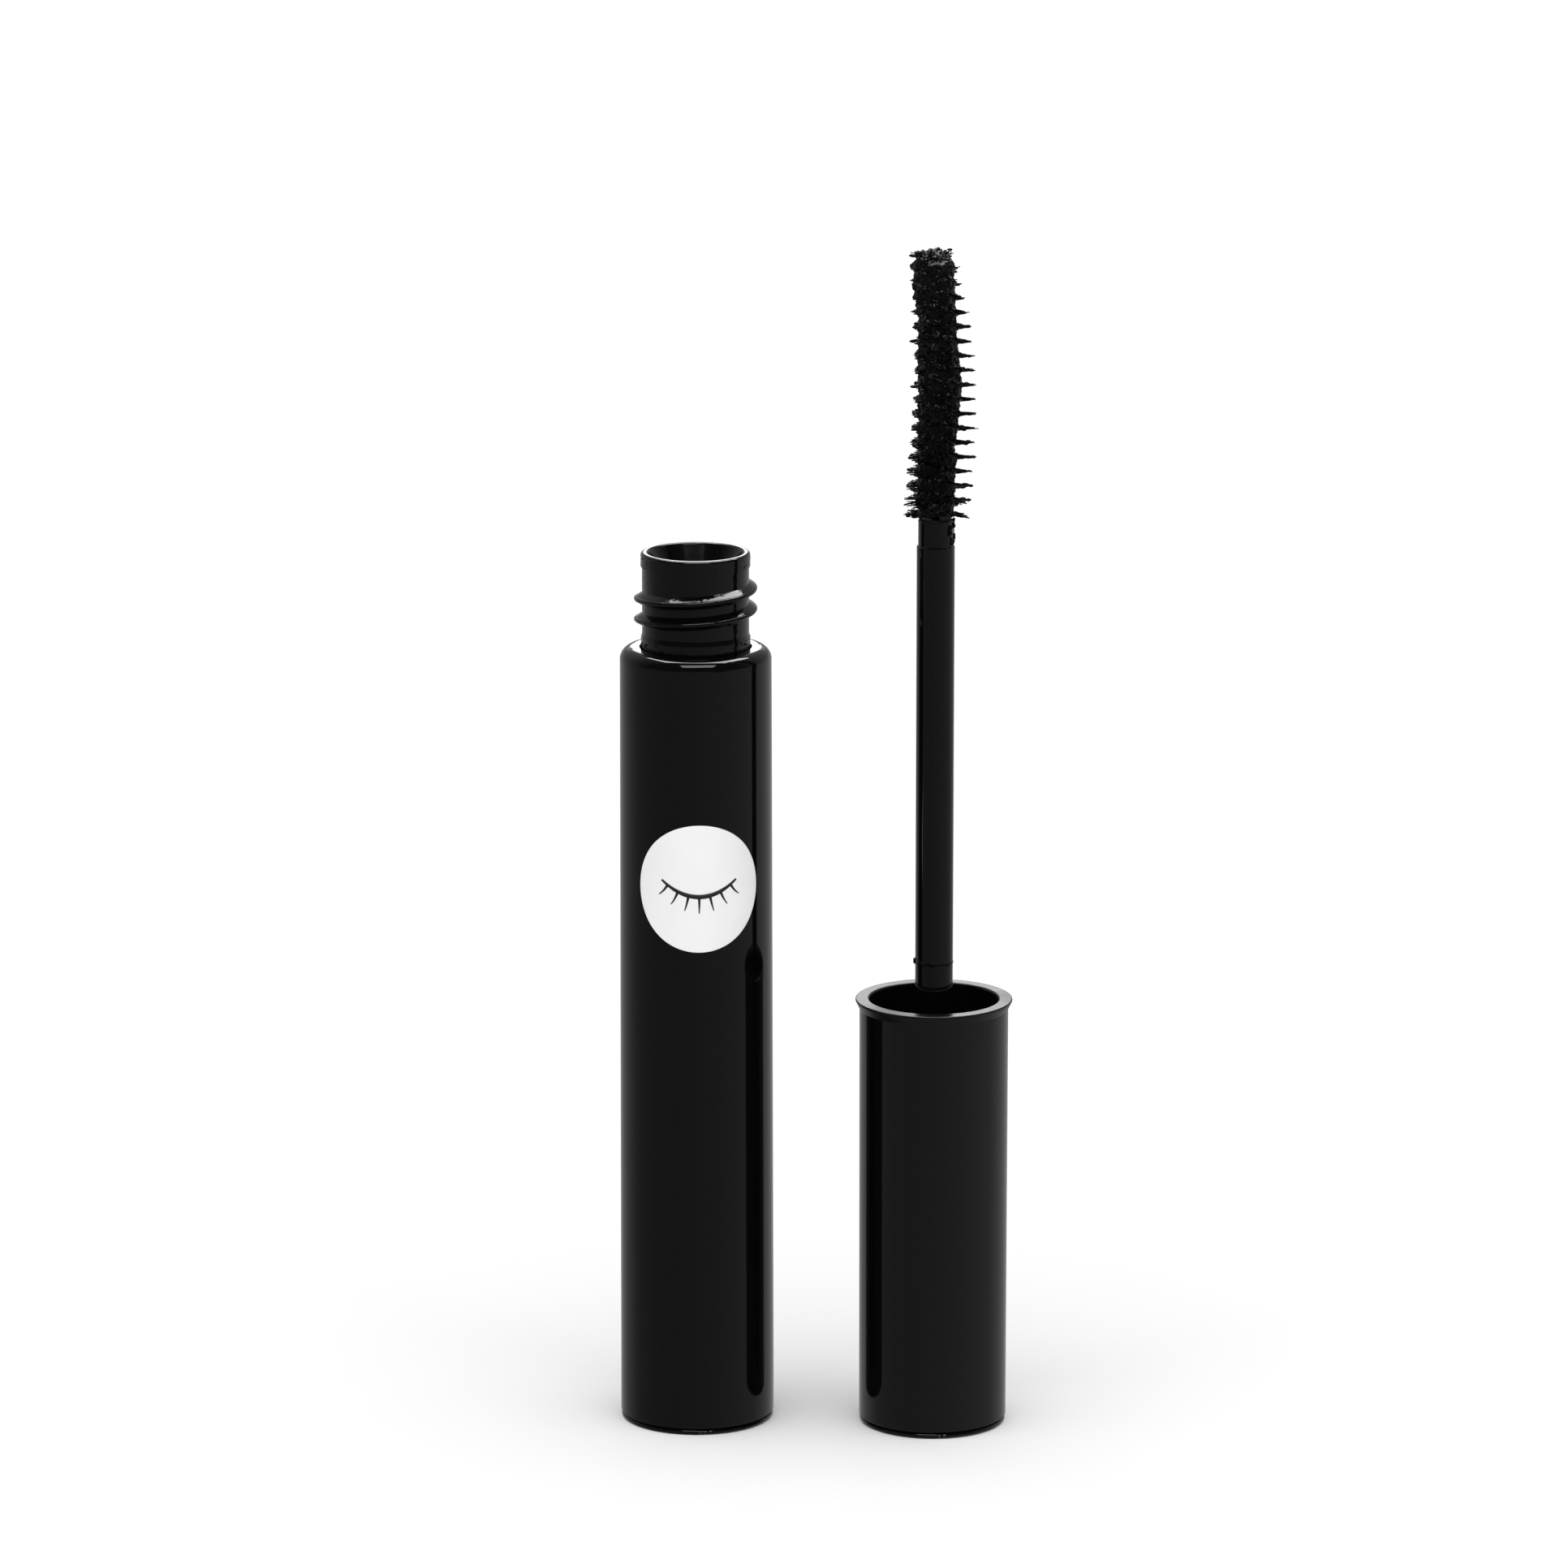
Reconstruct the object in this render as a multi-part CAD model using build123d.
from build123d import *
import math
import os

# A mascara in use: the open tube stands on its base, and the applicator stands beside it, upside
# down on the closed end of its cap, with the wand and the loaded brush pointing up.
# Millimetres and degrees. +Z is up, the origin is the centre of the tube's base, the front is -Y.

# Tube sleeve, a drafted moulding that is open at the bottom
SLEEVE_BASE_R = 8.2
SLEEVE_TOP_R = 8.0
SLEEVE_WALL = 1.0
SHOULDER_Z = 84.25
SHOULDER_ROUND = 1.3
SHOULDER_HOLE_R = 5.95

# Base plug and the cap's end plug: a thin flange with a groove above it, and a ring inside
FLANGE_T = 0.55
GROOVE = 0.15
FLANGE_INSET = 0.08
FLANGE_ROUND = 0.22
PLUG_RING_TOP = 1.9
PLUG_RING_WALL = 1.2
PLUG_FIT = 0.03

# Inner bottle: the reservoir and the threaded neck
BOTTLE_R = 6.9
BOTTLE_WALL = 0.9
BOTTLE_BOTTOM = 2.0
BOTTLE_FLOOR = 1.0
BOTTLE_GAP = 0.15
NECK_R = 5.64
NECK_BORE_R = 4.7
NECK_BEAD_R = 5.76
NECK_BEAD_H = 1.05
NECK_FLARE_H = 0.5
NECK_HEIGHT = 10.15

# Screw thread, right hand, one start
PITCH = 2.2
THREAD_CREST_R = 6.5
THREAD_BASE_W = 1.45
THREAD_CREST_W = 0.5
THREAD_SINK = 0.2
THREAD_TURNS = 2.0
THREAD_START = 2.42
THREAD_START_ANGLE = 90.0

# Wiper: a soft flanged funnel that ends in the scraping lip
WIPER_FLANGE_R = 5.77
WIPER_FLANGE_T = 1.5
WIPER_MOUTH_R = 5.05
WIPER_SKIRT_R = 4.65
WIPER_SKIRT_BORE_R = 4.05
WIPER_FUNNEL_H = 2.0
WIPER_CONE_TOP = 84.3
WIPER_LIP_Z = 80.2
WIPER_LIP_LAND = 0.7
WIPER_ORIFICE_R = 2.15
WIPER_WALL = 0.5
WIPER_EDGE_ROUND = 0.3

# Mascara left in the reservoir, with the hollow that the brush has made in it
FILL_CHANNEL_R = 4.45
FILL_TOP = 62.0
FILL_FIT = 0.03

# Round label wrapped on the front of the sleeve
LABEL_R = 6.85
LABEL_Z = 59.85
LABEL_T = 0.12
LABEL_TURN = 2.8
LABEL_OUTLINE_POINTS = 24

# Applicator: where its axis stands, and the cap's sleeve
APPLICATOR_X = 25.2
APPLICATOR_Y = -1.7
CAP_HEIGHT = 46.5
CAP_END_R = 7.86
CAP_RIM_R = 7.9
CAP_BORE_R = 7.45

# Inner cap: a flared rim, the female thread, a web and the stem's socket
RIM_R = 8.33
RIM_T = 1.05
RIM_EDGE_H = 0.2
RIM_ROUND = 0.12
INNER_CAP_R = 7.42
INNER_BORE_R = 6.85
MOUTH_ROUND = 0.2
FEMALE_CREST_R = 5.95
FEMALE_BASE_W = 1.0
FEMALE_TURNS = 1.9
FEMALE_START = 4.4
FEMALE_START_ANGLE = 90.0
WEB_TOP = 35.65
WEB_T = 1.55
SOCKET_R = 3.4
SOCKET_BOTTOM = 24.0
SOCKET_FLOOR = 0.5
SOCKET_FIT = 0.02

# Seal washer under the web, and the steel slug that gives the cap its weight
LINER_T = 0.75
LINER_R = 6.5
LINER_BORE_R = 2.3
SLUG_R = 6.9
SLUG_BOTTOM = 2.9
SLUG_TOP = 22.5
SLUG_CHAMFER = 0.5

# Stem
STEM_R = 2.0
STEM_TIP_R = 1.85
STEM_STEP_Z = 95.3
STEM_TOP = 98.3
STEM_CHAMFER = 0.2
WIRE_HOLE_R = 0.64
WIRE_HOLE_DEPTH = 8.0

# Brush: two wires twisted together, and the rows of filaments that they grip
WIRE_R = 0.28
WIRE_HELIX_R = 0.29
WIRE_TOP = 126.2
ROW_COUNT = 18
ROW_SPACING = 1.53
FIRST_ROW_Z = 99.2
ROW_T = 0.45
ROW_HOLE_R = 0.62
ROW_ROOT_R = 1.3
ROW_SPIKES = 22
BRUSH_R = 3.3
BRUSH_TIP_LOSS = 1.1
BRUSH_BOW = 0.95
BRUSH_BOW_BASE = 0.1
BRUSH_BOW_TIP_LOSS = 0.45

WIRE_PITCH = 2 * ROW_SPACING
NECK_TOP = SHOULDER_Z + NECK_HEIGHT - WIPER_FLANGE_T
LIP_TOP = SHOULDER_Z + NECK_HEIGHT


def sleeve_radius(z):
    """Outer radius of the drafted tube sleeve at height z."""
    return SLEEVE_BASE_R + (SLEEVE_TOP_R - SLEEVE_BASE_R) * z / SHOULDER_Z


def lathe(*points):
    """Solid of revolution about Z from a closed outline of (radius, height) points."""
    outline = Polyline(*[(r, 0, z) for r, z in points], close=True)
    return revolve(make_face(outline), Axis.Z)


def tube_of(outer_r, inner_r, low, high):
    """Plain ring between two heights."""
    return lathe((inner_r, low), (outer_r, low), (outer_r, high), (inner_r, high))


def edges_at(part, radius, height):
    """Circular edges about Z with this radius and height."""
    found = []
    for edge in part.edges().filter_by(GeomType.CIRCLE):
        same_height = abs(edge.arc_center.Z - height) < 0.01
        if same_height and abs(edge.radius - radius) < 0.01:
            found.append(edge)
    return found


def thread(root_r, crest_r, base_w, turns, low, start_angle):
    """Helical ridge from root_r to crest_r, its root sunk into the wall that it grows from."""
    rise = crest_r - root_r
    sink = -math.copysign(THREAD_SINK, rise)
    sunk_w = base_w + (base_w - THREAD_CREST_W) * THREAD_SINK / abs(rise)
    path = Helix(pitch=PITCH, height=PITCH * turns, radius=root_r)
    start = Plane(origin=path @ 0, x_dir=(1, 0, 0), z_dir=path % 0)
    shoulder = rise - math.copysign(THREAD_CREST_W / 2, rise)
    foot, crest = sunk_w / 2, THREAD_CREST_W / 2
    flanks = Polyline((shoulder, -crest), (sink, -foot), (sink, foot), (shoulder, crest))
    crown = ThreePointArc((shoulder, crest), (rise, 0), (shoulder, -crest))
    ridge = sweep(start * make_face(flanks + crown), path=path, is_frenet=True)
    return Pos(0, 0, low) * Rot(0, 0, start_angle) * ridge


# ---- Tube -------------------------------------------------------------------------------------

def make_tube_shell():
    """Glossy outer sleeve with its flat shoulder."""
    low = FLANGE_T + GROOVE
    inside_top = SHOULDER_Z - SLEEVE_WALL
    shell = lathe(
        (sleeve_radius(low) - SLEEVE_WALL, low),
        (sleeve_radius(low), low),
        (SLEEVE_TOP_R, SHOULDER_Z),
        (SHOULDER_HOLE_R, SHOULDER_Z),
        (SHOULDER_HOLE_R, inside_top),
        (SLEEVE_TOP_R - SLEEVE_WALL, inside_top),
    )
    shell = fillet(edges_at(shell, SLEEVE_TOP_R, SHOULDER_Z), SHOULDER_ROUND)
    return fillet(edges_at(shell, sleeve_radius(low), low), FLANGE_ROUND / 2)


def make_plug(flange_r, ring_r):
    """End plug: a thin round-edged flange and a locating ring that goes up inside a sleeve."""
    plug = lathe(
        (0, 0), (flange_r, 0), (flange_r, FLANGE_T), (ring_r, FLANGE_T),
        (ring_r, PLUG_RING_TOP), (ring_r - PLUG_RING_WALL, PLUG_RING_TOP),
        (ring_r - PLUG_RING_WALL, FLANGE_T + GROOVE), (0, FLANGE_T + GROOVE),
    )
    rounds = edges_at(plug, flange_r, 0) + edges_at(plug, flange_r, FLANGE_T)
    return fillet(rounds, FLANGE_ROUND)


def make_inner_bottle():
    """Reservoir with the threaded neck."""
    inner_r = BOTTLE_R - BOTTLE_WALL
    top = SHOULDER_Z - SLEEVE_WALL - BOTTLE_GAP
    bead_top = SHOULDER_Z + NECK_BEAD_H
    bottle = lathe(
        (0, BOTTLE_BOTTOM), (BOTTLE_R, BOTTLE_BOTTOM), (BOTTLE_R, top),
        (NECK_BEAD_R, top), (NECK_BEAD_R, bead_top), (NECK_R, bead_top + NECK_FLARE_H),
        (NECK_R, NECK_TOP), (NECK_BORE_R, NECK_TOP), (NECK_BORE_R, top),
        (inner_r, top - (inner_r - NECK_BORE_R)),
        (inner_r, BOTTLE_BOTTOM + BOTTLE_FLOOR), (0, BOTTLE_BOTTOM + BOTTLE_FLOOR),
    )
    ridge = thread(
        NECK_R, THREAD_CREST_R, THREAD_BASE_W, THREAD_TURNS,
        SHOULDER_Z + THREAD_START, THREAD_START_ANGLE,
    )
    return bottle + ridge


def make_wiper():
    """Soft wiper: flange on the neck, skirt inside it, cone and scraping lip below."""
    flange_low = NECK_TOP
    funnel_low = LIP_TOP - WIPER_FUNNEL_H
    lip_top = WIPER_LIP_Z + WIPER_LIP_LAND
    wiper = lathe(
        (WIPER_MOUTH_R, LIP_TOP), (WIPER_FLANGE_R, LIP_TOP),
        (WIPER_FLANGE_R, flange_low), (WIPER_SKIRT_R, flange_low),
        (WIPER_SKIRT_R, WIPER_CONE_TOP), (WIPER_ORIFICE_R + WIPER_WALL, WIPER_LIP_Z),
        (WIPER_ORIFICE_R, WIPER_LIP_Z), (WIPER_ORIFICE_R, lip_top),
        (WIPER_SKIRT_BORE_R, WIPER_CONE_TOP + WIPER_WALL), (WIPER_SKIRT_BORE_R, funnel_low),
    )
    rounds = edges_at(wiper, WIPER_MOUTH_R, LIP_TOP) + edges_at(wiper, WIPER_FLANGE_R, LIP_TOP)
    return fillet(rounds, WIPER_EDGE_ROUND)


def make_mascara_fill():
    """Mascara that lines the reservoir around the hollow left by the brush."""
    outer_r = BOTTLE_R - BOTTLE_WALL - FILL_FIT
    return tube_of(outer_r, FILL_CHANNEL_R, BOTTLE_BOTTOM + BOTTLE_FLOOR, FILL_TOP)


def make_label_disc():
    """Round film label: a flat disc's outline wrapped on the sleeve, seen along Y, then cut out."""
    low = LABEL_Z - LABEL_R - 1
    high = LABEL_Z + LABEL_R + 1
    film = lathe(
        (sleeve_radius(low), low), (sleeve_radius(low) + LABEL_T, low),
        (sleeve_radius(high) + LABEL_T, high), (sleeve_radius(high), high),
    )
    wrap_r = sleeve_radius(LABEL_Z)
    outline = []
    for step in range(LABEL_OUTLINE_POINTS):
        turn = 2 * math.pi * step / LABEL_OUTLINE_POINTS
        across = wrap_r * math.sin(LABEL_R * math.cos(turn) / wrap_r)
        outline.append((across, LABEL_Z + LABEL_R * math.sin(turn)))
    cutter = extrude(Plane.XZ * make_face(Spline(*outline, periodic=True)), 2 * SLEEVE_BASE_R)
    return Rot(0, 0, LABEL_TURN) * (film & cutter)


# ---- Applicator, on its own axis --------------------------------------------------------------

def make_cap_shell():
    """Thin lacquered sleeve of the cap."""
    low = FLANGE_T + GROOVE
    high = CAP_HEIGHT - RIM_T
    shell = lathe((CAP_BORE_R, low), (CAP_END_R, low), (CAP_RIM_R, high), (CAP_BORE_R, high))
    return fillet(edges_at(shell, CAP_END_R, low), FLANGE_ROUND / 2)


def make_inner_cap():
    """Inner cap: flared rim, threaded bore, web and the socket that holds the stem."""
    flange_low = CAP_HEIGHT - RIM_T
    web_low = WEB_TOP - WEB_T
    hole_r = STEM_R + SOCKET_FIT
    cap = lathe(
        (hole_r, SOCKET_BOTTOM + SOCKET_FLOOR), (0, SOCKET_BOTTOM + SOCKET_FLOOR),
        (0, SOCKET_BOTTOM), (SOCKET_R, SOCKET_BOTTOM), (SOCKET_R, web_low),
        (INNER_CAP_R, web_low), (INNER_CAP_R, flange_low), (CAP_RIM_R, flange_low),
        (RIM_R, CAP_HEIGHT - RIM_EDGE_H), (RIM_R, CAP_HEIGHT), (INNER_BORE_R, CAP_HEIGHT),
        (INNER_BORE_R, WEB_TOP), (hole_r, WEB_TOP),
    )
    cap = fillet(edges_at(cap, RIM_R, CAP_HEIGHT), RIM_ROUND)
    cap = fillet(edges_at(cap, INNER_BORE_R, CAP_HEIGHT), MOUTH_ROUND)
    ridge = thread(
        INNER_BORE_R, FEMALE_CREST_R, FEMALE_BASE_W, FEMALE_TURNS,
        CAP_HEIGHT - FEMALE_START - FEMALE_TURNS * PITCH, FEMALE_START_ANGLE,
    )
    return cap + ridge


def make_cap_liner():
    """Seal washer that meets the wiper's flange when the cap is screwed home."""
    return tube_of(LINER_R, LINER_BORE_R, WEB_TOP, WEB_TOP + LINER_T)


def make_cap_weight():
    """Steel slug inside the closed end."""
    slug = lathe((0, SLUG_BOTTOM), (SLUG_R, SLUG_BOTTOM), (SLUG_R, SLUG_TOP), (0, SLUG_TOP))
    ends = edges_at(slug, SLUG_R, SLUG_BOTTOM) + edges_at(slug, SLUG_R, SLUG_TOP)
    return chamfer(ends, SLUG_CHAMFER)


def make_stem():
    """Wand: a round rod, stepped down near its chamfered end, with a blind hole for the wires."""
    low = SOCKET_BOTTOM + SOCKET_FLOOR
    hole_low = STEM_TOP - WIRE_HOLE_DEPTH
    step_high = STEM_STEP_Z + STEM_R - STEM_TIP_R
    return lathe(
        (0, low), (STEM_R, low), (STEM_R, STEM_STEP_Z), (STEM_TIP_R, step_high),
        (STEM_TIP_R, STEM_TOP - STEM_CHAMFER), (STEM_TIP_R - STEM_CHAMFER, STEM_TOP),
        (WIRE_HOLE_R, STEM_TOP), (WIRE_HOLE_R, hole_low), (0, hole_low),
    )


def make_wire_strand(start_angle):
    """One of the two wires that are twisted together, left hand, to grip the filaments."""
    low = STEM_TOP - WIRE_HOLE_DEPTH
    path = Helix(pitch=WIRE_PITCH, height=WIRE_TOP - low, radius=WIRE_HELIX_R, lefthand=True)
    start = Plane(origin=path @ 0, x_dir=(1, 0, 0), z_dir=path % 0)
    strand = sweep(start * Circle(WIRE_R), path=path, is_frenet=True)
    return Pos(0, 0, low) * Rot(0, 0, start_angle) * strand


def filament_reach(angle, along):
    """How far the filaments stand out, at an angle in radians and 0 to 1 from base to tip.

    The brush is trimmed to a slim round form whose middle is bowed towards +X.
    """
    round_r = BRUSH_R - BRUSH_TIP_LOSS * along ** 3
    bow = BRUSH_BOW_BASE + BRUSH_BOW * math.sin(math.pi * along) - BRUSH_BOW_TIP_LOSS * along ** 4
    return bow * math.cos(angle) + math.sqrt(round_r ** 2 - (bow * math.sin(angle)) ** 2)


def make_bristle_row(index):
    """One turn of filaments: a thin star around the wires."""
    along = index / (ROW_COUNT - 1)
    outline = []
    for step in range(2 * ROW_SPIKES):
        angle = math.pi * step / ROW_SPIKES
        radius = filament_reach(angle, along) if step % 2 == 0 else ROW_ROOT_R
        outline.append((radius * math.cos(angle), radius * math.sin(angle)))
    star = make_face(Polyline(*outline, close=True)) - Circle(ROW_HOLE_R)
    low = FIRST_ROW_Z + index * ROW_SPACING - ROW_T / 2
    return Pos(0, 0, low) * extrude(star, ROW_T)


# ---- Assembly ---------------------------------------------------------------------------------

def make_tube_parts():
    """Every piece of the tube."""
    low = FLANGE_T + GROOVE
    sleeve_bore = sleeve_radius(low) - SLEEVE_WALL
    return {
        "tube_shell": make_tube_shell(),
        "base_plug": make_plug(SLEEVE_BASE_R - FLANGE_INSET, sleeve_bore - PLUG_FIT),
        "inner_bottle": make_inner_bottle(),
        "wiper": make_wiper(),
        "mascara_fill": make_mascara_fill(),
        "label_disc": make_label_disc(),
    }


def make_applicator_parts():
    """Every piece of the applicator, on its own axis."""
    parts = {
        "cap_shell": make_cap_shell(),
        "cap_end_plug": make_plug(CAP_END_R - FLANGE_INSET, CAP_BORE_R - PLUG_FIT),
        "cap_weight": make_cap_weight(),
        "inner_cap": make_inner_cap(),
        "cap_liner": make_cap_liner(),
        "stem": make_stem(),
        "wire_strand_a": make_wire_strand(0),
        "wire_strand_b": make_wire_strand(180),
    }
    for index in range(ROW_COUNT):
        parts[f"bristle_row_{index + 1:02d}"] = make_bristle_row(index)
    return parts


def main():
    """Write one STEP file for each piece."""
    os.makedirs("parts", exist_ok=True)
    parts = make_tube_parts()
    for name, piece in make_applicator_parts().items():
        parts[name] = Pos(APPLICATOR_X, APPLICATOR_Y, 0) * piece
    for name, piece in parts.items():
        piece.label = name
        export_step(piece, f"parts/{name}.step")


main()
